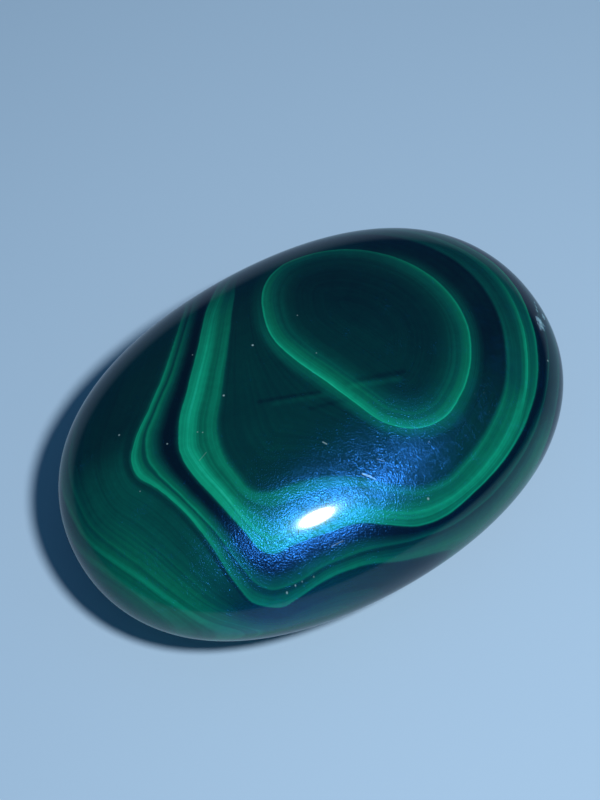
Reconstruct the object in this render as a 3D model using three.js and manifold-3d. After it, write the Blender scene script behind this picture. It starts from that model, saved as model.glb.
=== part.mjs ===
// A polished malachite palm stone: one solid piece that rests on a small flat spot.
// Millimetres, +Z up. The long axis lies along X, and the origin is on the flat spot's plane, below the middle
// of the stone's box.

import * as THREE from "three";
import { mergeVertices } from "three/addons/utils/BufferGeometryUtils.js";
import Module from "manifold-3d";

// Driving dimensions

const HALF_LENGTH = 31.5; // of the plan ellipse, along X, before its lobes
const HALF_WIDTH = 21.85; // of the plan ellipse, along Y
const DOME_HEIGHT = 11.7; // from the widest section up to the crown, and down to the belly
const SIDE_FULLNESS = 2.2; // exponent of the side profile: 2 is an ellipse, and more is fuller at the shoulder

const LOBES = [
  { count: 3, share: 0.005, turn: THREE.MathUtils.degToRad(152) }, // one end a little blunter than the other
  { count: 4, share: 0.0175, turn: THREE.MathUtils.degToRad(167) }, // slightly squared shoulders in plan
];

const REST_SPOT_DEPTH = 0.24; // ground off the belly, which leaves the flat spot

const CHIP = {
  at: new THREE.Vector3(27.7, -5.8, 16.5), // on the shoulder of the blunter end, from the origin
  size: new THREE.Vector3(1.6, 0.9, 0.9), // length, width and depth
  turn: THREE.MathUtils.degToRad(66), // about Z, so that its length follows the rim
};

const FACET_ROWS = 15; // how often each side of the starting icosahedron's triangles is cut
const CHIP_ROWS = 2;
const SAME_POINT = 1e-5; // corners nearer than this are one

const POLISHED_GREEN = new THREE.MeshStandardMaterial({
  color: new THREE.Color(0.006, 0.07, 0.055),
  roughness: 0.12,
  metalness: 0,
});

// The manifold-3d solid of a closed three.js geometry.
function solidOf(wasm, geometry) {
  const bare = geometry.clone();
  bare.deleteAttribute("normal");
  bare.deleteAttribute("uv");
  const merged = mergeVertices(bare, SAME_POINT);
  return new wasm.Manifold(
    new wasm.Mesh({
      numProp: 3,
      vertProperties: merged.attributes.position.array,
      triVerts: new Uint32Array(merged.index.array),
    }),
  );
}

// The three.js geometry of a manifold-3d solid.
function geometryOf(solid) {
  const mesh = solid.getMesh();
  const geometry = new THREE.BufferGeometry();
  geometry.setAttribute("position", new THREE.BufferAttribute(new Float32Array(mesh.vertProperties), 3));
  geometry.setIndex(new THREE.BufferAttribute(new Uint32Array(mesh.triVerts), 1));
  geometry.computeVertexNormals();
  return geometry;
}

// Where the point of a unit sphere in that direction goes on the stone, from the stone's middle.
function surfacePoint(direction) {
  const across = Math.hypot(direction.x, direction.y);
  const angle = Math.atan2(direction.y, direction.x);
  const lobed = LOBES.reduce((sum, lobe) => sum + lobe.share * Math.cos(lobe.count * angle - lobe.turn), 1);
  const reach = (across ** SIDE_FULLNESS + Math.abs(direction.z) ** SIDE_FULLNESS) ** (-1 / SIDE_FULLNESS);
  return new THREE.Vector3(
    HALF_LENGTH * lobed * reach * direction.x,
    HALF_WIDTH * lobed * reach * direction.y,
    DOME_HEIGHT * reach * direction.z,
  );
}

// The whole closed pebble shape, before the flat spot, with its box centred on X and Y.
function pebbleGeometry() {
  const geometry = new THREE.IcosahedronGeometry(1, FACET_ROWS);
  const position = geometry.attributes.position;
  for (let i = 0; i < position.count; i++) {
    const point = surfacePoint(new THREE.Vector3().fromBufferAttribute(position, i).normalize());
    position.setXYZ(i, point.x, point.y, point.z);
  }
  geometry.computeBoundingBox();
  const middle = geometry.boundingBox.getCenter(new THREE.Vector3());
  geometry.translate(-middle.x, -middle.y, DOME_HEIGHT - REST_SPOT_DEPTH);
  return geometry;
}

// All that lies below the plane of the flat spot.
function groundOffGeometry() {
  const block = new THREE.BoxGeometry(4 * HALF_LENGTH, 4 * HALF_WIDTH, DOME_HEIGHT);
  block.translate(0, 0, -DOME_HEIGHT / 2);
  return block;
}

// The scoop that a knock has taken out of the rim.
function chipGeometry() {
  const scoop = new THREE.IcosahedronGeometry(0.5, CHIP_ROWS);
  scoop.scale(CHIP.size.x, CHIP.size.y, CHIP.size.z);
  scoop.rotateZ(CHIP.turn);
  scoop.translate(CHIP.at.x, CHIP.at.y, CHIP.at.z);
  return scoop;
}

const wasm = await Module();
wasm.setup();

const stoneSolid = solidOf(wasm, pebbleGeometry())
  .subtract(solidOf(wasm, groundOffGeometry()))
  .subtract(solidOf(wasm, chipGeometry()));

const stone = new THREE.Mesh(geometryOf(stoneSolid), POLISHED_GREEN);
stone.name = "stone";

const palmStone = new THREE.Group();
palmStone.add(stone);

export default palmStone;
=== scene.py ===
"""Looks of a polished malachite palm stone: one natural piece on a pale studio floor.

Lengths are in millimetres inside the classes. A mesh is turned into metres in its last step.
"""
import logging
import math
from dataclasses import dataclass, field
from enum import Enum

import bmesh
import bpy
import numpy as np
from mathutils import Matrix, Vector, noise


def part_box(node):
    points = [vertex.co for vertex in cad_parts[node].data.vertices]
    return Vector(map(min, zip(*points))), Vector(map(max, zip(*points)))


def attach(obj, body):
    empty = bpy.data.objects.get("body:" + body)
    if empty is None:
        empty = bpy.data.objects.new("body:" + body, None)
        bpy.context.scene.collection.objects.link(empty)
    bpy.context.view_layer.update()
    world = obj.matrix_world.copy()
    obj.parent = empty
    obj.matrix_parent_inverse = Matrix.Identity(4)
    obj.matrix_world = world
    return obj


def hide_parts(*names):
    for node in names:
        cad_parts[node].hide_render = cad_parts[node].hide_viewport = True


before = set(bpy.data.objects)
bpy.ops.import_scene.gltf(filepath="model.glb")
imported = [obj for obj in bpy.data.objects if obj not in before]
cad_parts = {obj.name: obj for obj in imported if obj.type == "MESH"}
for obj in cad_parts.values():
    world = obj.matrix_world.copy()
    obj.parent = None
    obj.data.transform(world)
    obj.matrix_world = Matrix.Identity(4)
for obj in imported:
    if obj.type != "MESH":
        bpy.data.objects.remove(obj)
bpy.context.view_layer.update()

MM = 0.001
STONE_NODE = "stone"
HEART = (9.0, 2.0)  # the point in the plan view that every growth line runs round
log = logging.getLogger("palm_stone")


class Value:
    """A number socket of a node tree, which Python expressions can use like a number."""

    def __init__(self, craft: "NodeCraft", socket: bpy.types.NodeSocket) -> None:
        """Wrap an output socket.

        Args:
            craft: the maker of nodes in the socket's tree.
            socket: the output that gives the number.
        """
        self.craft = craft
        self.socket = socket

    def __add__(self, other: "Number") -> "Value":
        """Give this plus other."""
        return self.craft.math("ADD", self, other)

    def __radd__(self, other: "Number") -> "Value":
        """Give other plus this."""
        return self.craft.math("ADD", other, self)

    def __sub__(self, other: "Number") -> "Value":
        """Give this minus other."""
        return self.craft.math("SUBTRACT", self, other)

    def __rsub__(self, other: "Number") -> "Value":
        """Give other minus this."""
        return self.craft.math("SUBTRACT", other, self)

    def __mul__(self, other: "Number") -> "Value":
        """Give this times other."""
        return self.craft.math("MULTIPLY", self, other)

    def __rmul__(self, other: "Number") -> "Value":
        """Give other times this."""
        return self.craft.math("MULTIPLY", other, self)

    def __truediv__(self, other: "Number") -> "Value":
        """Give this divided by other."""
        return self.craft.math("DIVIDE", self, other)

    def __rtruediv__(self, other: "Number") -> "Value":
        """Give other divided by this."""
        return self.craft.math("DIVIDE", other, self)

    def __pow__(self, other: "Number") -> "Value":
        """Give this to the power of other."""
        return self.craft.math("POWER", self, other)

    def __abs__(self) -> "Value":
        """Give the size of this without its sign."""
        return self.craft.math("ABSOLUTE", self)

    def lowest(self, other: "Number") -> "Value":
        """Give the smaller of this and other."""
        return self.craft.math("MINIMUM", self, other)

    def highest(self, other: "Number") -> "Value":
        """Give the larger of this and other."""
        return self.craft.math("MAXIMUM", self, other)

    def exp(self) -> "Value":
        """Give e to the power of this."""
        return self.craft.math("EXPONENT", self)

    def rise(self, low: float, high: float) -> "Value":
        """Rise smoothly from 0 at low to 1 at high, or fall where high is the smaller one.

        Args:
            low: where the result is 0.
            high: where the result is 1.

        Returns:
            The smooth step.
        """
        falling = high < low
        ends = (high, low) if falling else (low, high)
        step = self.craft.node(
            "ShaderNodeMapRange",
            {"interpolation_type": "SMOOTHSTEP"},
            {"Value": self, "From Min": ends[0], "From Max": ends[1]},
        )
        risen = self.craft.value(step)
        return 1 - risen if falling else risen


Number = Value | float


class NodeCraft:
    """Makes the nodes of one tree."""

    def __init__(self, tree: bpy.types.NodeTree) -> None:
        """Take the tree that the nodes go into.

        Args:
            tree: a shader tree or a geometry tree.
        """
        self.tree = tree

    def node(
        self,
        kind: str,
        settings: dict[str, object] | None = None,
        inputs: dict[str | int, object] | None = None,
    ) -> bpy.types.Node:
        """Make a node, set what it is, then fill its sockets.

        Args:
            kind: the node's type.
            settings: its properties; "stops" gives the (place, colour) pairs of a ramp.
            inputs: a value or a link for each socket, by the socket's name or number.

        Returns:
            The new node.
        """
        made = self.tree.nodes.new(kind)
        for name, setting in (settings or {}).items():
            if name == "stops":
                self.set_stops(made.color_ramp, setting)
            else:
                setattr(made, name, setting)
        for name, given in (inputs or {}).items():
            self.feed(made.inputs[name], given)
        return made

    def set_stops(
        self, ramp: bpy.types.ColorRamp, stops: list[tuple[float, tuple[float, ...]]]
    ) -> None:
        """Put the stops on a ramp.

        Args:
            ramp: the ramp of a new node, which has two stops.
            stops: pairs of a place from 0 to 1 and a colour, in rising order.
        """
        for index, (place, colour) in enumerate(stops):
            if index < 2:
                stop = ramp.elements[index]
                stop.position = place
            else:
                stop = ramp.elements.new(place)
            stop.color = (*colour, 1.0)

    def feed(self, socket: bpy.types.NodeSocket, given: object) -> None:
        """Link a socket, or set its value.

        Args:
            socket: the input socket.
            given: a Value, an output socket, or a plain value.
        """
        if isinstance(given, Value):
            given = given.socket
        if isinstance(given, bpy.types.NodeSocket):
            self.tree.links.new(given, socket)
        else:
            socket.default_value = given

    def value(self, node: bpy.types.Node, output: str | int = 0) -> Value:
        """Wrap a node's output as a Value."""
        return Value(self, node.outputs[output])

    def math(self, operation: str, *operands: Number) -> Value:
        """Make a Math node for an operation on its operands."""
        made = self.node("ShaderNodeMath", {"operation": operation}, dict(enumerate(operands)))
        return self.value(made)

    def vector(self, operation: str, *operands: object) -> bpy.types.NodeSocket:
        """Make a Vector Math node and give its vector."""
        made = self.node("ShaderNodeVectorMath", {"operation": operation}, dict(enumerate(operands)))
        return made.outputs["Vector"]

    def parts(self, vector: bpy.types.NodeSocket) -> tuple[Value, Value, Value]:
        """Take a vector apart into its three numbers."""
        apart = self.node("ShaderNodeSeparateXYZ", inputs={0: vector})
        return self.value(apart, 0), self.value(apart, 1), self.value(apart, 2)

    def joined(self, x: Number, y: Number, z: Number) -> bpy.types.NodeSocket:
        """Make a vector of three numbers."""
        return self.node("ShaderNodeCombineXYZ", inputs={0: x, 1: y, 2: z}).outputs[0]

    def stored(self, name: str) -> bpy.types.NodeSocket:
        """Read a vector that the mesh holds under a name."""
        return self.node("ShaderNodeAttribute", {"attribute_name": name}).outputs["Vector"]

    def apart(self, first: object, second: object) -> Value:
        """Give the distance between two places."""
        made = self.node("ShaderNodeVectorMath", {"operation": "DISTANCE"}, {0: first, 1: second})
        return self.value(made, "Value")

    def grain(
        self, place: bpy.types.NodeSocket, scale: float, detail: float = 2.0, distortion: float = 0.0
    ) -> Value:
        """Make a soft noise.

        Args:
            place: where the noise is read, in millimetres.
            scale: its grains per millimetre.
            detail: its octaves.
            distortion: how far the grains are pulled out of shape.

        Returns:
            The noise, 0 to 1 and mostly near 0.5.
        """
        made = self.node(
            "ShaderNodeTexNoise",
            inputs={"Vector": place, "Scale": scale, "Detail": detail, "Distortion": distortion},
        )
        return self.value(made)

    def blend(self, share: Number, first: object, second: object) -> bpy.types.NodeSocket:
        """Mix two colours.

        Args:
            share: 0 for the first colour, 1 for the second.
            first: a colour or its socket.
            second: a colour or its socket.

        Returns:
            The mixed colour's socket.
        """
        made = self.node("ShaderNodeMix", {"data_type": "RGBA"}, {0: share, 6: first, 7: second})
        return made.outputs[2]


class Line(Enum):
    """The growth lines that the polished top shows, from the middle outwards."""

    NODULE = 0
    BAND_INNER = 1
    BAND_FINE = 2
    BAND_OUTER = 3
    TWIN_INNER = 4
    TWIN_OUTER = 5
    RIM = 6


# The stored vectors that hold the distances from the lines
STORED_LINES = {
    "inner_lines": (Line.NODULE, Line.BAND_FINE, Line.BAND_OUTER),
    "outer_lines": (Line.TWIN_INNER, Line.TWIN_OUTER, Line.RIM),
}


@dataclass(frozen=True)
class GrowthLine:
    """A closed growth line as the plan view shows it.

    Its growth is its place on the scale that all layers share, about a millimetre a step. Knots beyond the
    rim are where the line runs on inside the lost rock.
    """

    line: Line
    growth: float
    knots: tuple[tuple[float, float], ...]
    vigour: tuple[tuple[float, float], ...] = ((0.0, 1.0),)  # pairs of a bearing and the strength there

    def samples(self, per_knot: int = 12) -> np.ndarray:
        """Follow the line smoothly through its knots.

        Args:
            per_knot: how many points each stretch between two knots gets.

        Returns:
            Rows of x, y, and the outward normal's x and y.
        """
        start = np.array(self.knots)
        end = np.roll(start, -1, axis=0)
        chord = np.linalg.norm(end - start, axis=1)[:, None]
        slope = (end - start) / chord
        back_slope, back_chord = np.roll(slope, 1, axis=0), np.roll(chord, 1, axis=0)
        tangent = (back_slope * chord + slope * back_chord) / (chord + back_chord)
        next_tangent = np.roll(tangent, -1, axis=0)
        rows = []
        for t in np.linspace(0, 1, per_knot, endpoint=False):
            place = (
                (2 * t**3 - 3 * t**2 + 1) * start
                + (t**3 - 2 * t**2 + t) * chord * tangent
                + (3 * t**2 - 2 * t**3) * end
                + (t**3 - t**2) * chord * next_tangent
            )
            rows.append(place)
        points = np.stack(rows, axis=1).reshape(-1, 2)
        along = np.roll(points, -1, axis=0) - np.roll(points, 1, axis=0)
        along /= np.linalg.norm(along, axis=1)[:, None]
        return np.column_stack([points, along[:, 1], -along[:, 0]])

    def strength(self, bearing: np.ndarray) -> np.ndarray:
        """Give the line's vigour at each bearing, in radians."""
        return np.interp(np.degrees(bearing), *zip(*self.vigour), period=360)


# How strong the broad band and the twin lines are, by bearing in degrees round the heart
BAND_VIGOUR = (
    (0, 0.62), (15, 0.56), (60, 0.6), (90, 0.5), (105, 0.4), (120, 0.42), (135, 0.72), (150, 0.9), (165, 1.0),
    (325, 1.0), (335, 0.85), (345, 0.74),
)
TWIN_VIGOUR = (
    (0, 0.7), (60, 0.7), (90, 0.5), (120, 0.4), (135, 0.48), (150, 0.75), (165, 0.97), (178, 1.2),
    (195, 1.25), (207, 0.9), (240, 0.75), (270, 0.9), (300, 1.0), (330, 1.0),
)

# The knots run anticlockwise, seen from above.
GROWTH_LINES = (
    GrowthLine(
        Line.NODULE,
        0.0,
        (
            (7.0, 15.9), (3.3, 14.4), (0.5, 10.8), (-0.85, 6.8), (-0.6, 3.2),
            (0.6, -1.2), (1.7, -5.2), (3.2, -8.9), (5.6, -10.95), (8.7, -11.55),
            (12.2, -10.3), (15.9, -7.3), (18.4, -3.5), (19.35, 0.6), (18.8, 5.4),
            (16.6, 10.1), (13.3, 13.7), (10.0, 15.4),
        ),
    ),
    GrowthLine(
        Line.BAND_INNER,
        9.0,
        (
            (3.0, 18.9), (-1.0, 14.6), (-5.0, 9.7), (-9.9, 4.1), (-12.5, 1.1),
            (-13.6, -1.5), (-13.85, -4.8), (-13.4, -7.4), (-12.0, -8.6), (-9.5, -9.3),
            (-6.0, -10.5), (-3.0, -12.3), (0.0, -14.8), (2.3, -16.2), (5.0, -16.8),
            (9.0, -16.1), (13.5, -14.3), (17.7, -11.5), (20.6, -8.0), (22.8, -4.0),
            (23.85, 0.8), (23.6, 4.6), (21.9, 9.2), (18.6, 13.9), (13.0, 17.5),
            (7.0, 19.3),
        ),
        BAND_VIGOUR,
    ),
    GrowthLine(
        Line.BAND_FINE,
        12.0,
        (
            (3.0, 19.9), (-3.4, 15.0), (-7.4, 10.6), (-11.4, 6.6), (-14.4, 3.6),
            (-16.1, 1.2), (-16.4, -1.2), (-16.0, -6.0), (-15.3, -11.2), (-14.7, -12.5),
            (-12.5, -13.2), (-8.5, -14.2), (-4.8, -15.4), (-2.3, -17.0), (0.8, -18.5),
            (4.8, -18.9), (9.0, -18.4), (12.6, -17.4), (16.0, -15.8), (19.4, -13.2),
            (22.4, -9.7),
            (24.7, -5.9), (26.1, -2.0), (26.6, 1.4), (26.1, 5.2), (24.3, 9.6),
            (21.0, 14.6), (16.5, 18.8), (12.0, 20.8), (7.0, 21.8),
        ),
        BAND_VIGOUR,
    ),
    GrowthLine(
        Line.BAND_OUTER,
        13.0,
        (
            (2.0, 20.8), (-1.0, 18.3), (-4.0, 15.6), (-8.0, 11.2), (-12.0, 7.2),
            (-15.2, 4.0), (-16.9, 1.2), (-17.25, -1.6), (-16.9, -5.2), (-16.2, -10.3),
            (-15.8, -12.7), (-15.1, -13.5), (-12.9, -13.95), (-8.3, -15.1),
            (-5.2, -16.0), (-2.9, -17.4), (0.2, -19.0), (3.8, -19.5), (8.0, -19.0),
            (13.2, -17.7), (17.9, -15.4), (21.6, -12.5), (24.6, -8.7), (26.8, -4.4),
            (28.0, -0.4), (28.1, 3.0), (26.9, 7.2), (24.5, 12.5), (20.0, 18.5),
            (14.0, 22.0), (7.0, 23.3),
        ),
        BAND_VIGOUR,
    ),
    GrowthLine(
        Line.TWIN_INNER,
        15.5,
        (
            (-5.2, 17.1), (-8.7, 13.5), (-12.1, 10.3), (-15.9, 7.5), (-18.9, 5.1),
            (-20.0, 3.0), (-20.1, 1.0), (-19.5, -3.2), (-18.7, -8.5), (-18.4, -12.6),
            (-17.9, -14.8), (-17.0, -15.9), (-15.4, -16.6), (-10.7, -17.3),
            (-6.0, -18.3), (-1.2, -19.7), (4.0, -20.35), (11.2, -19.5), (18.0, -16.7),
            (23.1, -12.7), (26.8, -8.0), (28.8, -3.2), (29.5, 1.4), (29.2, 6.0),
            (27.5, 12.0), (23.0, 19.0), (15.0, 24.0), (6.0, 25.5), (-1.0, 22.0),
        ),
        TWIN_VIGOUR,
    ),
    GrowthLine(
        Line.TWIN_OUTER,
        17.0,
        (
            (-5.6, 17.8), (-8.6, 14.7), (-12.1, 11.4), (-16.4, 8.1), (-19.8, 5.8),
            (-21.4, 4.1), (-21.9, 2.3), (-21.1, -0.3), (-20.2, -4.5), (-19.85, -9.0),
            (-19.8, -13.2), (-19.3, -15.5), (-18.1, -16.7), (-16.3, -17.7),
            (-15.0, -17.9), (-11.2, -18.25), (-7.2, -19.1), (-3.0, -20.5), (2.0, -21.35),
            (7.5, -21.4), (13.5, -20.2), (19.5, -17.5), (24.5, -13.3), (27.9, -8.8),
            (29.8, -3.8), (30.4, 1.2), (30.1, 6.5), (28.4, 13.0), (23.8, 20.0),
            (15.5, 25.0), (6.0, 26.6), (-1.8, 23.6),
        ),
        TWIN_VIGOUR,
    ),
    GrowthLine(
        Line.RIM,
        24.0,
        (
            (-27.9, 9.5), (-29.2, 5.0), (-29.6, 1.4), (-29.1, -2.0), (-27.9, -5.9),
            (-26.5, -9.8), (-24.2, -13.9), (-20.5, -16.9), (-15.2, -19.3),
            (-10.0, -21.1), (-4.0, -22.7), (3.0, -23.5), (10.0, -23.0), (17.0, -21.0),
            (23.0, -17.2), (28.2, -11.5), (31.5, -5.0), (32.5, 2.0), (31.5, 9.0),
            (28.0, 17.0), (22.0, 24.0), (12.0, 28.5), (0.0, 28.5), (-10.0, 26.0),
            (-18.0, 20.6), (-24.3, 14.5),
        ),
    ),
)


@dataclass
class GrowthPattern:
    """Where each point of the stone lies among the layers that the mineral grew in."""

    lines: tuple[GrowthLine, ...] = GROWTH_LINES
    seen_down_to: float = 9.5  # height down to which the plan view gives the pattern
    extra_below: float = 30.0  # how much further out the layers at the flat spot are
    slant: tuple[float, float] = (-7.0, 3.0)  # how far the layers lean on their way down
    warp: float = 5.0  # waviness of the layers on the underside
    warp_grain: float = 9.0
    seed: int = 7  # of the waviness, which would otherwise follow the clock
    close_by: float = 1.5  # within this the distance is measured square to the line
    fade_down: float = 0.15  # share of the way down over which the distances give way to the growth scale
    batch: int = 8192  # points measured at a time

    def from_line(self, plan: np.ndarray, line: GrowthLine) -> np.ndarray:
        """Measure how far outside a growth line each point lies.

        Args:
            plan: points in the plan view.
            line: the growth line.

        Returns:
            The distance of each point, negative inside.
        """
        samples = line.samples().astype(np.float32)
        far = np.empty(len(plan), np.float32)
        for first in range(0, len(plan), self.batch):
            part = plan[first : first + self.batch].astype(np.float32)
            apart = part[:, None, :] - samples[None, :, :2]
            squared = np.einsum("ijk,ijk->ij", apart, apart)
            nearest = squared.argmin(axis=1)
            rows = np.arange(len(part))
            square_off = np.einsum("ij,ij->i", apart[rows, nearest], samples[nearest, 2:])
            straight = np.sqrt(squared[rows, nearest])
            far[first : first + self.batch] = np.where(
                straight < self.close_by, square_off, np.sign(square_off) * straight
            )
        return far

    def bearing(self, plan: np.ndarray) -> np.ndarray:
        """Give the bearing of points from the heart, in radians."""
        return np.arctan2(plan[:, 1] - HEART[1], plan[:, 0] - HEART[0])

    def reach(self, line: GrowthLine, bearing: np.ndarray) -> np.ndarray:
        """Give how far a line runs from the heart in each bearing.

        Args:
            line: the growth line.
            bearing: the bearings, in radians.

        Returns:
            The distance in each bearing.
        """
        ring = line.samples()[:, :2]
        angle = self.bearing(ring)
        order = np.argsort(angle)
        return np.interp(bearing, angle[order], np.hypot(*(ring - HEART).T)[order], period=2 * np.pi)

    def growth_by_distance(self, plan: np.ndarray, distance: np.ndarray) -> np.ndarray:
        """Place points on the growth scale by their distances from the lines.

        Args:
            plan: the points in the plan view.
            distance: a column for each line, negative inside it.

        Returns:
            Columns of the growth and of the vigour.
        """
        bearing = self.bearing(plan)
        growth = np.minimum(distance[:, 0], 0)
        vigour = self.lines[0].strength(bearing)
        for i in range(len(self.lines) - 1):
            gap = np.maximum(distance[:, i] - distance[:, i + 1], 1e-3)
            share = np.clip(distance[:, i] / gap, 0, 1)
            growth += share * (self.lines[i + 1].growth - self.lines[i].growth)
            vigour += share * (self.lines[i + 1].strength(bearing) - self.lines[i].strength(bearing))
        return np.column_stack([growth + np.maximum(distance[:, -1], 0), vigour])

    def growth_by_bearing(self, plan: np.ndarray) -> np.ndarray:
        """Place points on the growth scale by their bearing from the heart, without creases.

        Args:
            plan: the points in the plan view.

        Returns:
            The growth of each point.
        """
        bearing, off = self.bearing(plan), np.hypot(*(plan - HEART).T)
        radii = [self.reach(line, bearing) for line in self.lines]
        growth = np.minimum(off / radii[0] - 1, 0) * radii[0].mean()
        for i in range(len(self.lines) - 1):
            share = np.clip((off - radii[i]) / (radii[i + 1] - radii[i]), 0, 1)
            growth += share * (self.lines[i + 1].growth - self.lines[i].growth)
        return growth + np.maximum(off - radii[-1], 0)

    def mark(self, mesh: bpy.types.Mesh, points: np.ndarray) -> None:
        """Store on a mesh how far each vertex lies from every line, its growth and its vigour.

        Args:
            mesh: the stone's mesh.
            points: its vertices in millimetres.
        """
        noise.seed_set(self.seed)
        below = np.clip((self.seen_down_to - points[:, 2]) / self.seen_down_to, 0, 1)
        waves = np.array([noise.noise_vector(Vector(p) / self.warp_grain)[:2] for p in points])
        plan = points[:, :2] - np.outer(below**1.5, self.slant) + self.warp * below[:, None] * waves
        distance = np.column_stack([self.from_line(plan, line) for line in self.lines])
        seen = self.growth_by_distance(plan, distance)
        rounded = below**2 * (3 - 2 * below)
        growth = seen[:, 0] + rounded * (self.growth_by_bearing(plan) - seen[:, 0])
        growth += self.extra_below * below**1.5
        scale = np.array([line.growth for line in self.lines])
        hidden = np.clip(below / self.fade_down, 0, 1)[:, None]
        distance += hidden * (growth[:, None] - scale - distance)
        column = {line.line: distance[:, i] for i, line in enumerate(self.lines)}
        for name, stored in STORED_LINES.items():
            store(mesh, name, [column[line] for line in stored])
        store(mesh, "growth", [growth, seen[:, 1]])


def store(mesh: bpy.types.Mesh, name: str, parts: list[np.ndarray]) -> None:
    """Store a vector for each vertex of a mesh.

    Args:
        mesh: the mesh.
        name: what the material reads it by.
        parts: the vectors' x and y, and z where there is one.
    """
    rows = np.zeros((len(mesh.vertices), 3), np.float32)
    rows[:, : len(parts)] = np.column_stack(parts)
    layer = mesh.attributes.new(name, "FLOAT_VECTOR", "POINT")
    layer.data.foreach_set("vector", rows.ravel())


@dataclass(frozen=True)
class Nick:
    """A place where the rim is chipped: its place in plan, its size and its turn about Z."""

    x: float
    y: float
    length: float
    width: float
    depth: float
    turn: float = 66.0


@dataclass(frozen=True)
class Lobe:
    """A slow swell of the plan outline: how many it has all round, how high and where."""

    count: int
    share: float
    turn: float


@dataclass
class PalmStone:
    """The stone itself: the same pebble rule as the solid model, finer, with its chips and layers."""

    half_length: float = 31.5
    half_width: float = 21.85
    dome_height: float = 11.7
    side_fullness: float = 2.2
    rest_spot_depth: float = 0.24
    spot_edge: float = 0.05  # rounding between the flat spot and the belly
    polish_wave: float = 0.05  # height of the low waves that hand polishing leaves
    polish_grain: float = 0.07  # waves per millimetre
    wave_room: tuple[float, float, float] = (30.0, 22.0, 12.0)  # the half sizes, so the waves are round
    blunt_end: Lobe = Lobe(3, 0.005, 152.0)
    square_shoulders: Lobe = Lobe(4, 0.0175, 167.0)
    rows: int = 122  # rows of faces on each side of the starting cube
    seed: int = 7
    growth: GrowthPattern = field(default_factory=GrowthPattern)
    nicks: tuple[Nick, ...] = (
        Nick(27.5, -5.85, 1.5, 0.85, 0.30),
        Nick(28.9, -4.9, 0.75, 0.45, 0.14),
        Nick(28.45, -4.2, 0.4, 0.25, 0.08),
        Nick(28.8, -3.6, 0.45, 0.25, 0.08),
        Nick(29.1, -3.0, 0.35, 0.22, 0.07),
    )
    nick_middle: tuple[float, float, float] = (28.3, -4.7, 15.8)
    nick_reach: float = 2.6
    nick_cuts: int = 3
    nick_span: float = 4.0  # how far out a nick is worked on, in half sizes
    crumbs: tuple[tuple[float, float], ...] = ((2.6, 1.0), (7.0, 0.6))  # grains per millimetre and strength
    ragged_edge: float = 0.45
    ragged_floor: float = 0.5
    broken_to: tuple[float, float] = (1.1, 0.3)  # where the broken surface ends, and over how much it fades
    bruised_at: tuple[float, float] = (0.95, 0.33)  # the middle and the width of the bruised ring
    map_half: tuple[float, float] = (0.49, 0.24)  # half the width and height of an oval of the bake map
    map_steps: int = 400

    def inputs(self) -> dict[str, float]:
        """Give the shape tree's named inputs, in millimetres and radians."""
        return {
            "Half Length": self.half_length,
            "Half Width": self.half_width,
            "Dome Height": self.dome_height,
            "Side Fullness": self.side_fullness,
            "Blunt End Share": self.blunt_end.share,
            "Blunt End Turn": math.radians(self.blunt_end.turn),
            "Shoulder Share": self.square_shoulders.share,
            "Shoulder Turn": math.radians(self.square_shoulders.turn),
            "Rest Spot Depth": self.rest_spot_depth,
            "Spot Edge": self.spot_edge,
            "Polish Wave": self.polish_wave,
            "Polish Grain": self.polish_grain,
            "Seed": float(self.seed),
        }

    def shape_tree(self, material: bpy.types.Material) -> bpy.types.NodeTree:
        """Build the tree that turns a round ball into the pebble.

        Args:
            material: the finish that the shape gets.

        Returns:
            The geometry tree, with a named input for each size.
        """
        tree = bpy.data.node_groups.new("pebble_shape", "GeometryNodeTree")
        tree.interface.new_socket(name="Ball", in_out="INPUT", socket_type="NodeSocketGeometry")
        for name in self.inputs():
            tree.interface.new_socket(name=name, in_out="INPUT", socket_type="NodeSocketFloat")
        tree.interface.new_socket(name="Pebble", in_out="OUTPUT", socket_type="NodeSocketGeometry")
        craft = NodeCraft(tree)
        given = craft.node("NodeGroupInput")
        size = {name: craft.value(given, name) for name in self.inputs()}
        direction = craft.vector("NORMALIZE", craft.node("GeometryNodeInputPosition").outputs[0])
        x, y, z = craft.parts(direction)
        across = craft.math("SQRT", x * x + y * y)
        angle = craft.math("ARCTAN2", y, x)
        blunt = craft.math("COSINE", angle * self.blunt_end.count - size["Blunt End Turn"])
        shoulders = craft.math("COSINE", angle * self.square_shoulders.count - size["Shoulder Turn"])
        lobed = 1 + blunt * size["Blunt End Share"] + shoulders * size["Shoulder Share"]
        full = size["Side Fullness"]
        reach = (across**full + abs(z) ** full) ** (-1 / full)
        wave = craft.node(
            "ShaderNodeTexNoise",
            {"noise_dimensions": "4D"},
            {"Vector": craft.vector("MULTIPLY", direction, self.wave_room), "W": size["Seed"],
             "Scale": size["Polish Grain"], "Detail": 1.0},
        )
        waved = reach * (1 + (craft.value(wave) - 0.5) * size["Polish Wave"] / size["Dome Height"])
        height = z * waved * size["Dome Height"] + size["Dome Height"] - size["Rest Spot Depth"]
        ground = craft.math("SMOOTH_MAX", height, 0.0, size["Spot Edge"])
        placed = craft.joined(
            x * waved * lobed * size["Half Length"], y * waved * lobed * size["Half Width"], ground
        )
        moved = craft.node("GeometryNodeSetPosition", inputs={0: given.outputs["Ball"], "Position": placed})
        real = craft.node("GeometryNodeRealizeInstances", inputs={0: moved.outputs[0]})
        dressed = craft.node("GeometryNodeSetMaterial", inputs={0: real.outputs[0], "Material": material})
        craft.node("NodeGroupOutput", inputs={0: dressed.outputs[0]})
        return tree

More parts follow.
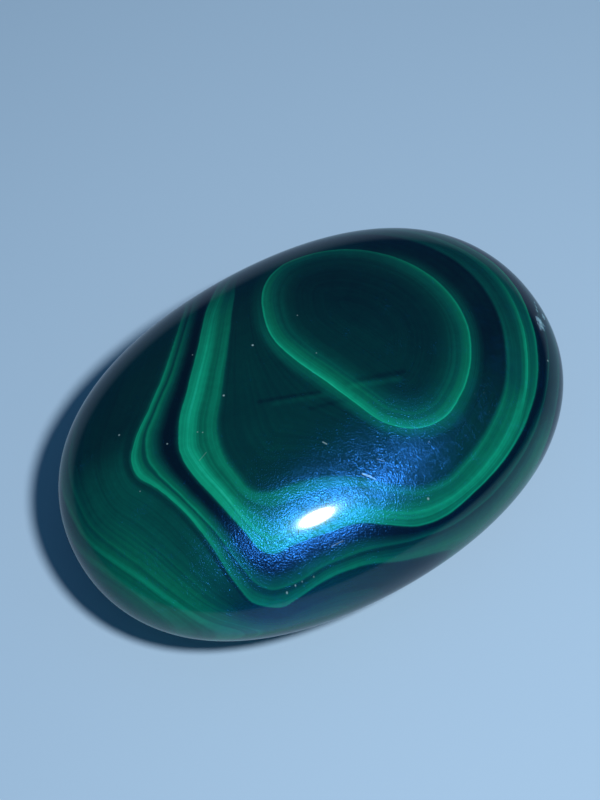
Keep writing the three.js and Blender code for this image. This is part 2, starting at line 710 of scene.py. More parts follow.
    def ball(self) -> bmesh.types.BMesh:
        """Make a round ball of even four-sided faces, with a ring of edges at its widest.

        Returns:
            The ball, with a radius of 1.
        """
        ball = bmesh.new()
        bmesh.ops.create_cube(ball, size=2.0)
        bmesh.ops.subdivide_edges(ball, edges=ball.edges[:], cuts=self.rows - 1, use_grid_fill=True)
        for vertex in ball.verts:
            evened = [math.tan(c * math.pi / 4) for c in vertex.co]
            vertex.co = Vector(evened).normalized()
        return ball

    def shaped(self, ball: bmesh.types.BMesh, tree: bpy.types.NodeTree) -> bpy.types.Mesh:
        """Run the shape tree on a ball.

        Args:
            ball: the ball, which stays as it is.
            tree: the shape tree.

        Returns:
            The pebble's mesh, in millimetres, with the ball's vertices in their order.
        """
        round_mesh = bpy.data.meshes.new("ball")
        ball.to_mesh(round_mesh)
        carrier = bpy.data.objects.new("ball", round_mesh)
        bpy.context.scene.collection.objects.link(carrier)
        modifier = carrier.modifiers.new("pebble_shape", "NODES")
        modifier.node_group = tree
        sizes = self.inputs()
        for item in tree.interface.items_tree:
            if item.in_out == "INPUT" and item.name in sizes:
                modifier[item.identifier] = sizes[item.name]
        graph = bpy.context.evaluated_depsgraph_get()
        pebble = bpy.data.meshes.new_from_object(carrier.evaluated_get(graph))
        bpy.data.objects.remove(carrier)
        bpy.data.meshes.remove(round_mesh)
        return pebble

    def refine_at_nicks(self, ball: bmesh.types.BMesh, rough: np.ndarray) -> None:
        """Cut the ball's faces finer where the rim is chipped.

        Args:
            ball: the ball to refine.
            rough: where its vertices go on the pebble.
        """
        near = np.linalg.norm(rough - np.array(self.nick_middle), axis=1) < self.nick_reach
        ball.verts.ensure_lookup_table()
        edges = [edge for edge in ball.edges if all(near[vertex.index] for vertex in edge.verts)]
        bmesh.ops.subdivide_edges(ball, edges=edges, cuts=self.nick_cuts, use_grid_fill=True)
        for vertex in ball.verts:
            vertex.co.normalize()
        ball.verts.index_update()

    def chip(self, mesh: bpy.types.Mesh, points: np.ndarray) -> np.ndarray:
        """Sink the nicks into the rim and store how broken each vertex is.

        Args:
            mesh: the pebble's mesh.
            points: its vertices in millimetres.

        Returns:
            The vertices with the nicks sunk in.
        """
        normals = np.empty(len(points) * 3, np.float32)
        mesh.vertex_normals.foreach_get("vector", normals)
        normals = normals.reshape(-1, 3)
        top = points[:, 2] > self.dome_height - self.rest_spot_depth
        sunk = np.zeros(len(points))
        broken = np.zeros(len(points))
        bruised = np.zeros(len(points))
        for nick in self.nicks:
            off = np.hypot(points[:, 0] - nick.x, points[:, 1] - nick.y) + np.where(top, 0, 99)
            middle, normal = points[off.argmin()], normals[off.argmin()]
            turn = math.radians(nick.turn)
            along = np.cross(normal, np.cross([math.cos(turn), math.sin(turn), 0], normal))
            along /= np.linalg.norm(along)
            across = np.cross(normal, along)
            a = (points - middle) @ along / (nick.length / 2)
            b = (points - middle) @ across / (nick.width / 2)
            close = (np.hypot(a, b) < self.nick_span) & top
            rough = np.zeros(len(points))
            rough[close] = [self.crumbled(Vector(point)) for point in points[close]]
            radius = np.hypot(a, b) * (1 + self.ragged_edge * rough)
            depth = nick.depth * np.clip(1 - radius**2, 0, 1) ** 0.6 * (1 + self.ragged_floor * rough)
            sunk = np.maximum(sunk, depth * close)
            ends, fade = self.broken_to
            broken = np.maximum(broken, np.clip((ends - radius) / fade, 0, 1) * close)
            ring, width = self.bruised_at
            bruised = np.maximum(bruised, np.exp(-(((radius - ring) / width) ** 2)) * close)
        store(mesh, "wear", [broken, bruised])
        return points - normals * sunk[:, None]

    def crumbled(self, point: Vector) -> float:
        """Give the unevenness of a broken surface at a point."""
        return sum(strength * noise.noise(point * grain) for grain, strength in self.crumbs)

    def unwrap(self, mesh: bpy.types.Mesh, directions: np.ndarray) -> None:
        """Lay the upper and the lower half out flat as two ovals, evenly from pole to rim.

        Args:
            mesh: the pebble's mesh.
            directions: the ball's direction of each vertex.
        """
        tilt = np.linspace(0, math.pi / 2, self.map_steps)
        full = self.side_fullness
        out = (np.sin(tilt) ** full + np.cos(tilt) ** full) ** (-1 / full)
        mean_half = (self.half_length + self.half_width) / 2
        sideways = np.diff(out * np.sin(tilt)) * mean_half
        steps = np.hypot(sideways, np.diff(out * np.cos(tilt)) * self.dome_height)
        walked = np.concatenate([[0], np.cumsum(steps)]) / steps.sum()
        reach = np.interp(np.arccos(np.clip(np.abs(directions[:, 2]), 0, 1)), tilt, walked)
        angle = np.arctan2(directions[:, 1], directions[:, 0])
        wide, high = self.map_half
        oval = np.column_stack([0.5 + wide * reach * np.cos(angle), high * reach * np.sin(angle)])
        corners = np.empty(len(mesh.loops), np.int32)
        mesh.loops.foreach_get("vertex_index", corners)
        counts = np.empty(len(mesh.polygons), np.int32)
        mesh.polygons.foreach_get("loop_total", counts)
        owner = np.repeat(np.arange(len(counts)), counts)
        heights = np.bincount(owner, directions[corners, 2]) / counts
        places = oval[corners]
        places[:, 1] += np.where(heights[owner] > 0, 0.75, 0.25)
        layer = mesh.uv_layers.new(name="OFBake")
        layer.uv.foreach_set("vector", places.astype(np.float32).ravel())

    def build(self, material: bpy.types.Material) -> bpy.types.Object:
        """Make the stone and put it in the frame.

        Args:
            material: its finish.

        Returns:
            The finished piece.
        """
        tree = self.shape_tree(material)
        ball = self.ball()
        draft = self.shaped(ball, tree)
        self.refine_at_nicks(ball, vertices(draft))
        bpy.data.meshes.remove(draft)
        mesh = self.shaped(ball, tree)
        directions = np.array([vertex.co[:] for vertex in ball.verts])
        ball.free()
        points = self.fitted(vertices(mesh))
        place(mesh, points)
        points = self.chip(mesh, points)
        self.growth.mark(mesh, points)
        self.unwrap(mesh, directions)
        place(mesh, points * MM)
        mesh.polygons.foreach_set("use_smooth", np.ones(len(mesh.polygons), bool))
        mesh.name = "palm_stone"
        piece = bpy.data.objects.new("palm_stone", mesh)
        bpy.context.scene.collection.objects.link(piece)
        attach(piece, "root")
        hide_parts(STONE_NODE)
        triangles = sum(len(face.vertices) - 2 for face in mesh.polygons)
        log.info("palm_stone: %d vertices, %d triangles", len(mesh.vertices), triangles)
        return piece

    def fitted(self, points: np.ndarray) -> np.ndarray:
        """Fit the points into the solid model's box, which they match but for its coarser facets.

        Args:
            points: the pebble's vertices in millimetres.

        Returns:
            The vertices, with the same box as the solid model.
        """
        low, high = (np.array(corner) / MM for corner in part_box(STONE_NODE))
        least, most = points.min(axis=0), points.max(axis=0)
        return low + (points - least) * (high - low) / (most - least)


def vertices(mesh: bpy.types.Mesh) -> np.ndarray:
    """Read where a mesh's vertices are.

    Args:
        mesh: the mesh.

    Returns:
        A row of x, y and z for each vertex.
    """
    flat = np.empty(len(mesh.vertices) * 3, np.float32)
    mesh.vertices.foreach_get("co", flat)
    return flat.reshape(-1, 3).astype(float)


def place(mesh: bpy.types.Mesh, points: np.ndarray) -> None:
    """Move a mesh's vertices to the rows of points."""
    mesh.vertices.foreach_set("co", points.astype(np.float32).ravel())
    mesh.update()


@dataclass(frozen=True)
class Speck:
    """A pale pinprick in the polish."""

    x: float
    y: float
    radius: float = 0.11
    light: float = 0.5


@dataclass(frozen=True)
class Streak:
    """A straight mark on the top, from one place in plan to another: a scratch, or a wisp in the mineral."""

    start: tuple[float, float]
    end: tuple[float, float]
    width: float = 0.08
    light: float = 0.4
    core: float = 0.3  # the share of its width that is at full strength


@dataclass(frozen=True)
class PaleLine:
    """A thin pale line along a growth line: how far it fades inwards and reaches outwards, and its light."""

    line: Line
    fade: float
    bleed: float
    light: float
    more_off_left: float = 0.0  # light added everywhere but on the left
    by_vigour: bool = False


@dataclass(frozen=True)
class Mottling:
    """An unevenness of the shade: its grain, its octaves, and its strength in dark and in pale layers."""

    grain: float
    detail: float
    in_dark: float
    more_in_pale: float
    distortion: float = 0.0
    along_layers: bool = False


@dataclass(frozen=True)
class HairlineSet:
    """Fine scratches that run one way: their turn in degrees, how short they are and how often they come."""

    turn: float
    shortness: float
    patches: float


@dataclass(frozen=True)
class FromHeart:
    """Where a place lies from the heart of the pattern, in millimetres."""

    across: Value
    upward: Value
    off: Value

    def along(self, way: tuple[float, float]) -> Value:
        """Give how far a place lies in a direction."""
        return self.across * way[0] + self.upward * way[1]


@dataclass(frozen=True)
class PolishedMalachite:
    """The finish: growth layers in dark and pale green under a high polish, with wear."""

    specks: tuple[Speck, ...] = (
        Speck(-3.2, 7.4, 0.17, 1.0), Speck(3.1, 7.8), Speck(1.8, 2.3), Speck(-20.7, 7.7, 0.15, 0.7),
        Speck(-22.6, 0.5), Speck(-17.4, 3.0, 0.14, 0.6), Speck(-9.4, 3.9, 0.17, 0.8), Speck(-14.1, 2.0),
        Speck(-13.7, 1.6), Speck(-9.0, 10.75), Speck(6.0, -12.9), Speck(2.6, -17.5, 0.17, 0.8),
        Speck(25.0, -10.4, 0.15, 0.7), Speck(-15.6, -17.0, 0.15, 0.8), Speck(-14.5, -17.0, 0.12, 0.8),
        Speck(-13.7, -17.1), Speck(-12.4, -17.4),
    )
    scratches: tuple[Streak, ...] = (
        Streak((-2.3, -12.1), (-1.7, -12.8), 0.12, 1.0), Streak((-1.9, -12.5), (-1.4, -13.3), 0.09, 0.7),
        Streak((-15.8, -0.9), (-14.7, -0.6), 0.06, 0.2), Streak((-3.9, -7.0), (-3.7, -7.4), 0.1, 0.6),
        Streak((0.0, -11.6), (0.5, -12.2), 0.06, 0.35), Streak((-9.3, -16.2), (-7.9, -16.4), 0.06, 0.4),
    )
    wisps: tuple[Streak, ...] = (
        Streak((2.4, -3.3), (7.4, -5.4), 0.6, 0.045, 0.0),
        Streak((3.4, -3.0), (8.4, -4.9), 0.55, -0.03, 0.0),
        Streak((-6.8, 0.9), (-0.9, -1.9), 0.45, -0.035, 0.0),
        Streak((-5.6, -0.3), (-0.6, -2.6), 0.6, 0.03, 0.0),
        Streak((-2.7, -3.1), (2.0, -4.6), 0.5, -0.025, 0.0),
    )
    scuff: tuple[float, float, float] = (14.4, -12.0, 1.9)  # a scuffed patch: its middle and its radius
    fleck_density: float = 2.6  # flecks per millimetre of the scuffed patch, along each axis
    fleck_size: float = 0.16  # the largest radius of a fleck, as a share of the room it has
    fleck_light: float = 0.55
    hairline_sets: tuple[HairlineSet, ...] = (
        HairlineSet(12, 0.7, 0.31), HairlineSet(58, 0.5, 0.27), HairlineSet(104, 0.8, 0.35),
        HairlineSet(149, 0.6, 0.23),
    )
    hairline_bend: float = 3.4  # millimetres
    hairline_light: float = 0.012
    wavers: tuple[tuple[float, float], ...] = ((0.33, 0.14), (1.9, 0.05))  # grain and height
    pale_lines: tuple[PaleLine, ...] = (
        PaleLine(Line.BAND_OUTER, 0.14, 0.1, 0.05, more_off_left=0.13),
        PaleLine(Line.BAND_FINE, 0.13, 0.12, 0.02, more_off_left=0.06, by_vigour=True),
        PaleLine(Line.TWIN_INNER, 0.12, 0.1, 0.05, by_vigour=True),
        PaleLine(Line.TWIN_OUTER, 0.12, 0.1, 0.05, by_vigour=True),
        PaleLine(Line.RIM, 0.16, 0.1, 0.04),
    )
    mottlings: tuple[Mottling, ...] = (
        Mottling(3.4, 3.0, 0.03, 0.22, along_layers=True), Mottling(0.8, 1.0, 0.02, 0.04, along_layers=True),
        Mottling(0.13, 3.0, 0.04, 0.04, distortion=0.6), Mottling(1.3, 3.0, 0.02, 0.05),
    )
    glow_way: tuple[float, float] = (-0.44, -0.23)  # directions from the heart, with their strength
    dim_way: tuple[float, float] = (0.34, 0.94)
    haze_way: tuple[float, float] = (-0.308, -0.394)
    cloud_way: tuple[float, float] = (-0.985, -0.174)
    lower_left: tuple[float, float] = (-0.75, -0.66)
    glow_light: float = 0.312  # of the glow inside the nodule's edge
    glow_swing: float = 0.18
    glow_drop: float = 0.08  # how much less it is on its dim side
    haze_light: float = 0.10  # of the haze outside the edge
    haze_floor: float = 0.04  # how much of it there is all round but on the far side
    edge_light: float = 0.13  # of the pale line between the two
    ground_shade: float = 0.126  # of the dark green round the nodule
    ground_lift: float = 0.042  # how much paler it is to the lower left
    ground_drop: float = 0.02  # how much darker it is on the right
    cloud_light: float = 0.095  # of the paler green outside the twin lines, on the left
    corner_light: float = 0.035
    flank_light: float = 0.13  # down the near flank
    body_roughness: float = 0.5
    film_roughness: float = 0.17
    film_ior: float = 2.5
    grit_depth: float = 0.007  # depths in millimetres
    film_grit_depth: float = 0.05
    hairline_depth: float = 0.025
    crushed_depth: float = 0.05
    mark_depth: float = 0.004
    mark_cover: float = 0.6  # how far a scratch or a pinprick hides the polish and the colour
    dust_colour: tuple[float, float, float, float] = (0.42, 0.62, 0.66, 1.0)
    powder_colour: tuple[float, float, float, float] = (0.26, 0.46, 0.58, 1.0)
    polish_weight: float = 0.75
    polish_roughness: float = 0.09
    polish_ior: float = 1.45
    sheen_colour: tuple[float, float, float, float] = (0.03, 0.25, 0.95, 1.0)
    film_share: float = 0.068  # of the scratched film, which scatters a blue sheen round a lamp's image
    rubbed_sheen_patch: Streak = Streak((-17.0, -15.0), (3.0, -12.6), 9.5, 0.31, 0.0)  # where the film is thickest: partly scratch wear, partly a painted highlight halo, as it sits where the key lamp's halo falls from this camera
    top_from: float = 11.5  # height above which the marks placed in plan lie
    left_layers: tuple[tuple[float, float], ...] = (
        (8.4, 0.175), (8.65, 0.225), (8.85, 0.32), (9.05, 0.385), (9.25, 0.415), (9.55, 0.375),
        (10.0, 0.35), (10.6, 0.35), (10.9, 0.41), (11.2, 0.49), (11.5, 0.535), (11.8, 0.55), (12.0, 0.51),
        (12.3, 0.525), (12.93, 0.48), (13.05, 0.20), (13.25, 0.13), (13.5, 0.092), (14.05, 0.092),
        (14.3, 0.125), (14.8, 0.235), (15.42, 0.355), (15.55, 0.225), (15.8, 0.215), (16.3, 0.355),
        (16.6, 0.425), (16.93, 0.44), (17.05, 0.25), (17.3, 0.17), (17.7, 0.14),
    )
    bottom_layers: tuple[tuple[float, float], ...] = (
        (8.3, 0.18), (8.7, 0.22), (9.0, 0.28), (9.25, 0.345), (9.5, 0.36), (10.0, 0.33), (10.5, 0.32),
        (10.8, 0.36), (11.1, 0.41), (11.45, 0.475), (11.65, 0.455), (11.8, 0.375), (12.1, 0.35),
        (12.5, 0.325), (12.93, 0.36), (13.05, 0.17), (13.3, 0.115), (13.6, 0.092), (14.1, 0.092),
        (14.5, 0.14), (15.0, 0.19), (15.45, 0.25), (15.55, 0.19), (15.8, 0.20), (16.1, 0.26), (16.5, 0.33),
        (16.95, 0.40), (17.05, 0.24), (17.4, 0.17), (17.7, 0.15),
    )
    right_layers: tuple[tuple[float, float], ...] = (
        (8.2, 0.13), (8.5, 0.16), (8.8, 0.215), (9.05, 0.26), (9.3, 0.27), (9.7, 0.255), (10.1, 0.24),
        (10.4, 0.235), (10.7, 0.26), (11.1, 0.26), (11.35, 0.31), (11.55, 0.38), (11.93, 0.44),
        (12.05, 0.31), (12.3, 0.275), (12.6, 0.285), (12.93, 0.34), (13.05, 0.17), (13.3, 0.115),
        (13.6, 0.085), (14.2, 0.075), (14.7, 0.085), (15.1, 0.125), (15.45, 0.19), (15.55, 0.15),
        (16.0, 0.155), (16.5, 0.19), (16.95, 0.24), (17.05, 0.16), (17.5, 0.13),
    )
    outer_layers: tuple[tuple[float, float], ...] = (
        (17.9, 0.14), (20.5, 0.145), (22.2, 0.16), (22.6, 0.19), (22.95, 0.25), (23.1, 0.22), (23.5, 0.27),
        (23.95, 0.33), (24.1, 0.22), (24.4, 0.21), (24.95, 0.30), (25.1, 0.22), (28.4, 0.19), (29.3, 0.28),
        (30.0, 0.25), (31.6, 0.40), (32.95, 0.46), (33.1, 0.24), (34.2, 0.17), (36.95, 0.33), (37.1, 0.18),
        (38.2, 0.38), (38.35, 0.18), (40.5, 0.14), (42.5, 0.32), (43.95, 0.44), (44.1, 0.11), (47.0, 0.17),
        (48.95, 0.37), (49.1, 0.15), (52.0, 0.24),
    )
    shades: tuple[tuple[float, tuple[float, float, float]], ...] = (
        (0.00, (0.0, 0.0010, 0.0030)),
        (0.06, (0.0, 0.0022, 0.0060)),
        (0.10, (0.0001, 0.0055, 0.0115)),
        (0.133, (0.0002, 0.0150, 0.0190)),
        (0.177, (0.0003, 0.0270, 0.0270)),
        (0.255, (0.0006, 0.0620, 0.0500)),
        (0.333, (0.001, 0.102, 0.062)),
        (0.38, (0.0015, 0.132, 0.079)),
        (0.467, (0.002, 0.198, 0.115)),
        (0.533, (0.003, 0.262, 0.148)),
        (0.59, (0.006, 0.335, 0.205)),
        (0.80, (0.08, 0.60, 0.52)),
        (1.00, (0.60, 0.82, 0.84)),
    )

    def layers(
        self, craft: NodeCraft, growth: Value, stops: tuple[tuple[float, float], ...]
    ) -> Value:
        """Read the shade of a layer off the growth scale.

        Args:
            craft: the maker of nodes.
            growth: the place on the growth scale.
            stops: pairs of growth and shade.

        Returns:
            The shade, 0 for the darkest and 1 for the palest.
        """
        first, last = stops[0][0], stops[-1][0]
        placed = [((g - first) / (last - first), (s, s, s)) for g, s in stops]
        ramp = craft.node("ShaderNodeValToRGB", {"stops": placed}, {0: (growth - first) / (last - first)})
        return craft.value(craft.node("ShaderNodeRGBToBW", inputs={0: ramp.outputs[0]}))

    def pale_line(self, distance: Value, fade: float, bleed: float = 0.14) -> Value:
        """Draw a thin pale line that fades inwards and ends sharply outwards.

        Args:
            distance: how far outside the growth line a point lies.
            fade: how far the line fades inwards.
            bleed: how far it reaches outwards.

        Returns:
            The line, 1 at its brightest.
        """
        inward = (distance.lowest(0.0) / fade).exp()
        return inward * distance.rise(bleed, 0.0)

    def streaks(self, craft: NodeCraft, plan: bpy.types.NodeSocket, streaks: tuple[Streak, ...]) -> Value:
        """Draw straight marks that have a place of their own.

        Args:
            craft: the maker of nodes.
            plan: the place in the plan view, in millimetres, with Z at 0.
            streaks: the marks.

        Returns:
            How much the marks brighten or darken each place.
        """
        total: Number = 0.0
        for streak in streaks:
            length = math.dist(streak.start, streak.end)
            way = (
                (streak.end[0] - streak.start[0]) / length,
                (streak.end[1] - streak.start[1]) / length,
                0.0,
            )
            from_start = craft.vector("SUBTRACT", plan, (*streak.start, 0.0))
            dot = craft.node("ShaderNodeVectorMath", {"operation": "DOT_PRODUCT"}, {0: from_start, 1: way})
            along = craft.value(dot, "Value").highest(0.0).lowest(length)
            foot = craft.node("ShaderNodeVectorMath", {"operation": "SCALE"}, {0: way, "Scale": along})
            off = craft.apart(from_start, foot.outputs[0])
            near = off.rise(streak.width, streak.width * streak.core)
            total = near * streak.light + total
        return total

    def pinpricks(self, craft: NodeCraft, plan: bpy.types.NodeSocket) -> Value:
        """Draw the specks that have a place of their own, and the scuffed patch.

        Args:
            craft: the maker of nodes.
            plan: the place in the plan view, in millimetres, with Z at 0.

        Returns:
            How pale the specks make each place.
        """
        total: Number = 0.0
        for speck in self.specks:
            off = craft.apart(plan, (speck.x, speck.y, 0.0))
            total = off.rise(speck.radius, speck.radius * 0.2) * speck.light + total
        x, y, radius = self.scuff
        patch = craft.apart(plan, (x, y, 0.0)).rise(radius, radius * 0.3)
        return total + self.flecks(craft, plan) * patch * self.fleck_light

    def flecks(self, craft: NodeCraft, plan: bpy.types.NodeSocket) -> Value:
        """Scatter tiny flecks of uneven strength.

        Args:
            craft: the maker of nodes.
            plan: the place in the plan view, in millimetres, with Z at 0.

        Returns:
            The flecks, 1 at their brightest.
        """
        cells = craft.node("ShaderNodeTexVoronoi", inputs={"Vector": plan, "Scale": self.fleck_density})
        red, green, _ = craft.parts(cells.outputs["Color"])
        size = self.fleck_size
        return craft.value(cells, "Distance").rise(size, size * 0.3) * red.rise(0.35, 1.0) * green

    def hairlines(self, craft: NodeCraft, place_mm: bpy.types.NodeSocket) -> Value:
        """Draw the fine bent scratches of long handling, in several directions.

        Args:
            craft: the maker of nodes.
            place_mm: the place in millimetres.

        Returns:
            The scratches, 1 at their deepest.
        """
        bend = craft.node("ShaderNodeTexNoise", inputs={"Vector": place_mm, "Scale": 0.28, "Detail": 1.0})
        bent = craft.vector("MULTIPLY_ADD", bend.outputs["Color"], (self.hairline_bend,) * 3, place_mm)
        total: Number = 0.0
        for hairs in self.hairline_sets:
            rotation = (0.3, 0.2, math.radians(hairs.turn))
            turned = craft.node(
                "ShaderNodeMapping",
                inputs={"Vector": bent, "Rotation": rotation, "Scale": (4.6, hairs.shortness, 1.2)},
            )
            ridge = abs(craft.grain(turned.outputs[0], 1.0, 1.0) - 0.5).rise(0.03, 0.0)
            aside = craft.vector("ADD", place_mm, (hairs.turn, 0, 0))
            total = ridge * craft.grain(aside, hairs.patches, 2.0).rise(0.5, 0.66) + total
        return total

    def nodule_edge(self, nodule: Value, here: FromHeart) -> Value:
        """Work out the glow, the haze and the pale line along the edge of the round nodule.

        Args:
            nodule: how far outside the nodule a point lies.
            here: where the point lies from the heart.

        Returns:
            What the edge adds to the shade.
        """
        dim = (here.along(self.dim_way) / here.off).rise(0.64, 0.95)
        swing = self.glow_swing * here.along(self.glow_way) / here.off
        glow_share = self.glow_light + swing - self.glow_drop * dim
        haze_share = self.haze_light * (0.5 + here.along(self.haze_way) / here.off) ** 0.6
        haze_share = haze_share + self.haze_floor * (here.upward / here.off).rise(0.85, 0.4)
        glow = ((nodule.lowest(0.0) / 2.0).exp() - 0.12).highest(0.0) * nodule.rise(0.12, -0.06)
        haze = nodule.rise(1.7, 0.3) * nodule.rise(-0.06, 0.12)
        return glow * glow_share + haze * haze_share + self.pale_line(nodule, 0.16) * self.edge_light

    def bands(self, craft: NodeCraft, growth: Value, here: FromHeart, left: Value) -> Value:
        """Give the shade of the broad band and the twin lines, which differ from side to side.

        Args:
            craft: the maker of nodes.
            growth: the place on the growth scale.
            here: where the point lies from the heart.
            left: 1 on the left.

        Returns:
            The shade.
        """
        bottom = (here.upward / here.off).rise(-0.78, -0.93)
        right_bands = self.layers(craft, growth, self.right_layers)
        bottom_bands = self.layers(craft, growth, self.bottom_layers)
        left_bands = self.layers(craft, growth, self.left_layers)
        bands = right_bands + (bottom_bands - right_bands) * bottom
        return bands + (left_bands - bands) * left

    def outside(self, craft: NodeCraft, growth: Value, here: FromHeart) -> Value:
        """Give the shade of the layers outside the twin lines, down the flanks and below.

        Args:
            craft: the maker of nodes.
            growth: the place on the growth scale.
            here: where the point lies from the heart.

        Returns:
            The shade.
        """
        corner = here.along(self.lower_left) / here.off
        cloud = (here.along(self.cloud_way) / here.off).rise(0.925, 0.985)
        light = self.cloud_light * cloud + self.corner_light * corner.rise(0.9, 1.0)
        outer = self.layers(craft, growth, self.outer_layers) + light * growth.rise(23.5, 21.5)
        return outer + self.flank_light * corner.rise(0.7, 0.95) * growth.rise(20.0, 24.0)

    def mottled(
        self, craft: NodeCraft, place_mm: bpy.types.NodeSocket, growth: Value, tone: Value
    ) -> Value:
        """Add the finest layers, the clouds and the mottling to a shade.

        Args:
            craft: the maker of nodes.
            place_mm: the place in millimetres.
            growth: the place on the growth scale.
            tone: the shade without them.

        Returns:
            The shade with them.
        """
        drift = craft.vector("MULTIPLY", place_mm, (0.05, 0.05, 0.05))
        body = tone.rise(0.10, 0.42)
        for kind in self.mottlings:
            if kind.along_layers:
                layered = craft.vector("ADD", craft.joined(growth * kind.grain, 0.0, 0.0), drift)
                uneven = craft.grain(layered, 1.0, kind.detail)
            else:
                uneven = craft.grain(place_mm, kind.grain, kind.detail, kind.distortion)
            tone = tone + (uneven - 0.5) * (kind.in_dark + kind.more_in_pale * body)
        return tone

    def shade(self, craft: NodeCraft, place_mm: bpy.types.NodeSocket) -> Value:
        """Work out how pale the mineral is at each place.

        Args:
            craft: the maker of nodes.
            place_mm: the place in millimetres.

        Returns:
            The shade, 0 for the darkest and 1 for the palest.
        """
        waver: Number = 0.0
        for grain, height in self.wavers:
            waver = (craft.grain(place_mm, grain, 1.0) - 0.5) * height + waver
        distance = {}
        for name, lines in STORED_LINES.items():
            distance.update(zip(lines, (part + waver for part in craft.parts(craft.stored(name)))))
        growth, vigour, _ = craft.parts(craft.stored("growth"))
        growth = growth + waver
        x, y, _ = craft.parts(place_mm)
        across, upward = x - HEART[0], y - HEART[1]
        off = craft.math("SQRT", across * across + upward * upward).highest(0.5)
        here = FromHeart(across, upward, off)
        left = (across / off).rise(-0.35, -0.65)

        ground = self.ground_shade + self.ground_lift * here.along(self.lower_left).rise(-6.0, 12.0)
        ground = ground - self.ground_drop * across.rise(2.0, 10.0) * growth.rise(0.0, 2.0)
        bands = 0.1 + (self.bands(craft, growth, here, left) - 0.1) * vigour
        tone = ground + (bands - ground) * growth.rise(8.1, 8.9)
        tone = tone + (self.outside(craft, growth, here) - tone) * growth.rise(17.3, 18.0)
        tone = tone + self.nodule_edge(distance[Line.NODULE], here)
        for pale in self.pale_lines:
            drawn = self.pale_line(distance[pale.line], pale.fade, pale.bleed)
            if pale.by_vigour:
                drawn = drawn * vigour
            tone = tone + drawn * (pale.light + pale.more_off_left * (1 - left))
        return self.mottled(craft, place_mm, growth, tone)

    def material(self) -> bpy.types.Material:
        """Build the finish.

        Returns:
            The material, which reads Object coordinates and the mesh's own stored vectors.
        """
        material = bpy.data.materials.new("polished_malachite")
        material.use_nodes = True
        material.node_tree.nodes.clear()
        craft = NodeCraft(material.node_tree)
        place_m = craft.node("ShaderNodeTexCoord").outputs["Object"]
        place_mm = craft.vector("MULTIPLY", place_m, (1 / MM, 1 / MM, 1 / MM))
        x, y, z = craft.parts(place_mm)
        plan = craft.joined(x, y, 0.0)
        on_top = z.rise(self.top_from - 0.5, self.top_from + 0.5)
        marks = self.pinpricks(craft, plan) * on_top + self.streaks(craft, plan, self.scratches) * on_top
        cover = marks.lowest(1.0) * self.mark_cover
        hairlines = self.hairlines(craft, place_mm)
        broken, bruised, _ = craft.parts(craft.stored("wear"))
        crushed = craft.grain(place_mm, 5.0, 3.0)

        tone = self.shade(craft, place_mm) + self.streaks(craft, plan, self.wisps) * on_top
        tone = tone + hairlines * self.hairline_light
        colour = craft.node("ShaderNodeValToRGB", {"stops": list(self.shades)}, {0: tone})
        dusted = craft.blend(cover, colour.outputs[0], self.dust_colour)
        powder = (broken * 0.2 + bruised * (0.2 + crushed * 0.8)).lowest(0.9)
        worn = craft.blend(powder, dusted, self.powder_colour)

        smear = craft.grain(place_mm, 0.22, 3.0, 0.8)
        grit = craft.grain(place_mm, 5.5, 2.0)
        worn_height = crushed * broken * self.crushed_depth - marks * self.mark_depth
        film_height = grit * self.film_grit_depth - hairlines * self.hairline_depth + worn_height
        polished = {
            "Base Color": worn,
            "Coat Weight": (1 - broken) * (1 - cover) * self.polish_weight,
            "Coat Roughness": self.polish_roughness,
            "Coat IOR": self.polish_ior,
        }
        clear = craft.node(
            "ShaderNodeBsdfPrincipled",
            inputs={
                **polished,
                "Roughness": self.body_roughness,
                "Specular IOR Level": 0.0,
                "Normal": self.bumped(craft, grit * self.grit_depth + worn_height),
            },
        )
        filmed = craft.node(
            "ShaderNodeBsdfPrincipled",
            inputs={
                **polished,
                "Roughness": self.film_roughness + smear * 0.12 - hairlines * 0.05,
                "IOR": self.film_ior,
                "Specular IOR Level": 1.0,
                "Specular Tint": self.sheen_colour,
                "Normal": self.bumped(craft, film_height),
            },
        )
        # Extra sheen in the patch where the key lamp's halo falls from this camera: partly wear, partly a
        # painted highlight halo.
        rubbed_sheen_patch = self.streaks(craft, plan, (self.rubbed_sheen_patch,)) * on_top
        film = (self.film_share + rubbed_sheen_patch) * (1 - broken)
        both = {0: film, 1: clear.outputs[0], 2: filmed.outputs[0]}
        shader = craft.node("ShaderNodeMixShader", inputs=both)
        craft.node("ShaderNodeOutputMaterial", inputs={0: shader.outputs[0]})
        return material

    def bumped(self, craft: NodeCraft, height: Value) -> bpy.types.NodeSocket:
        """Turn a height in millimetres into a normal."""
        bump = craft.node("ShaderNodeBump", inputs={"Strength": 1.0, "Distance": MM, "Height": height})
        return bump.outputs[0]


@dataclass(frozen=True)
class PaleFloor:
    """The plain pale floor of the studio."""

    colour: tuple[float, float, float, float] = (0.38, 0.54, 0.71, 1.0)
    roughness: float = 0.75
    specular: float = 0.2
    side: float = 30.0  # metres

    def build(self) -> bpy.types.Object:
        """Lay the floor.

        Returns:
            The floor.
        """
        material = bpy.data.materials.new("pale_floor")
        material.use_nodes = True
        material.node_tree.nodes.clear()
        craft = NodeCraft(material.node_tree)
        shader = craft.node(
            "ShaderNodeBsdfPrincipled",
            inputs={
                "Base Color": self.colour,
                "Roughness": self.roughness,
                "Specular IOR Level": self.specular,
            },
        )
        craft.node("ShaderNodeOutputMaterial", inputs={0: shader.outputs[0]})
        sheet = bmesh.new()
        bmesh.ops.create_grid(sheet, x_segments=1, y_segments=1, size=self.side / 2)
        mesh = bpy.data.meshes.new("floor")
        sheet.to_mesh(mesh)
        sheet.free()
        mesh.materials.append(material)
        floor = bpy.data.objects.new("floor", mesh)
        bpy.context.scene.collection.objects.link(floor)
        log.info("floor: plain and pale, %.1f m a side", self.side)
        return floor


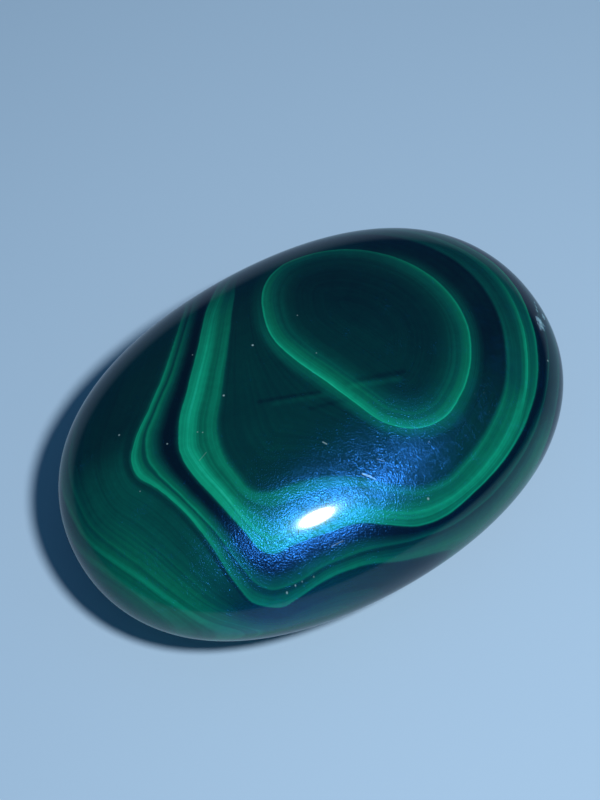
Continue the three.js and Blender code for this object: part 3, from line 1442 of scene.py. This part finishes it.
@dataclass
class Studio:
    """The camera at the photograph's viewing angle, and plain soft light."""

    aim: tuple[float, float, float] = (4.56, 9.375, 0.0)
    azimuth: float = -35.0
    elevation: float = 60.0
    distance: float = 243.3
    lens: float = 90.0
    sensor: float = 36.0
    clip: tuple[float, float] = (0.01, 60.0)  # metres
    key_side: float = 62.6  # how far the lamp stands to the camera's right, and above it
    key_above: float = 35.7
    key_share: float = 1.3  # its distance in camera distances
    key_size: tuple[float, float] = (36.0, 34.0)
    key_power: float = 0.95
    overhead: tuple[float, float, float] = (0.04, 0.105, 0.17)
    horizon: tuple[float, float, float] = (0.02, 0.07, 0.15)

    def axes(self) -> tuple[Vector, Vector, Vector]:
        """Work out which way the camera looks.

        Returns:
            The directions back to the camera, to its right and up.
        """
        azimuth, elevation = math.radians(self.azimuth), math.radians(self.elevation)
        back = Vector(
            (
                math.sin(azimuth) * math.cos(elevation),
                -math.cos(azimuth) * math.cos(elevation),
                math.sin(elevation),
            )
        )
        right = Vector((math.cos(azimuth), math.sin(azimuth), 0.0))
        return back, right, back.cross(right)

    def facing(self, at: Vector, towards: Vector) -> Matrix:
        """Give the place and turn of a lamp or camera at a point that looks towards another."""
        turn = (towards - at).to_track_quat("-Z", "Y")
        return Matrix.Translation(at) @ turn.to_matrix().to_4x4()

    def camera(self) -> None:
        """Set the camera up."""
        back, _, _ = self.axes()
        data = bpy.data.cameras.new("camera")
        data.lens = self.lens
        data.sensor_width = self.sensor
        data.clip_start, data.clip_end = self.clip
        camera = bpy.data.objects.new("camera", data)
        bpy.context.scene.collection.objects.link(camera)
        aim = Vector(self.aim)
        camera.matrix_world = self.facing((aim + back * self.distance) * MM, aim * MM)
        bpy.context.scene.camera = camera
        log.info("camera: %.0f mm lens, %.0f degrees above the horizon", self.lens, self.elevation)

    def lamp(self) -> None:
        """Hang the softbox."""
        back, right, up = self.axes()
        aim = Vector(self.aim)
        key = back * self.distance + right * self.key_side + up * self.key_above
        data = bpy.data.lights.new("key_softbox", "AREA")
        data.shape = "ELLIPSE"
        data.size, data.size_y = self.key_size[0] * MM, self.key_size[1] * MM
        data.energy = self.key_power
        lamp = bpy.data.objects.new("key_softbox", data)
        bpy.context.scene.collection.objects.link(lamp)
        lamp.matrix_world = self.facing((aim + key * self.key_share) * MM, aim * MM)
        log.info("light: key_softbox, %.2f W", self.key_power)

    def surroundings(self) -> None:
        """Set the dim surroundings, which are paler overhead."""
        world = bpy.data.worlds.new("studio")
        world.use_nodes = True
        world.node_tree.nodes.clear()
        craft = NodeCraft(world.node_tree)
        _, _, height = craft.parts(craft.node("ShaderNodeTexCoord").outputs["Generated"])
        backdrop = craft.blend(height.rise(0.0, 0.5), (*self.horizon, 1.0), (*self.overhead, 1.0))
        shader = craft.node("ShaderNodeBackground", inputs={"Color": backdrop})
        craft.node("ShaderNodeOutputWorld", inputs={0: shader.outputs[0]})
        bpy.context.scene.world = world

    def build(self) -> None:
        """Set up the camera, the light and the look of the picture."""
        self.camera()
        self.lamp()
        self.surroundings()
        bpy.context.scene.view_settings.view_transform = "Standard"


def main() -> None:
    """Build the scene piece by piece."""
    logging.basicConfig(level=logging.INFO, format="%(name)s %(message)s")
    Studio().build()
    PaleFloor().build()
    PalmStone().build(PolishedMalachite().material())


if __name__ == "__main__":
    main()
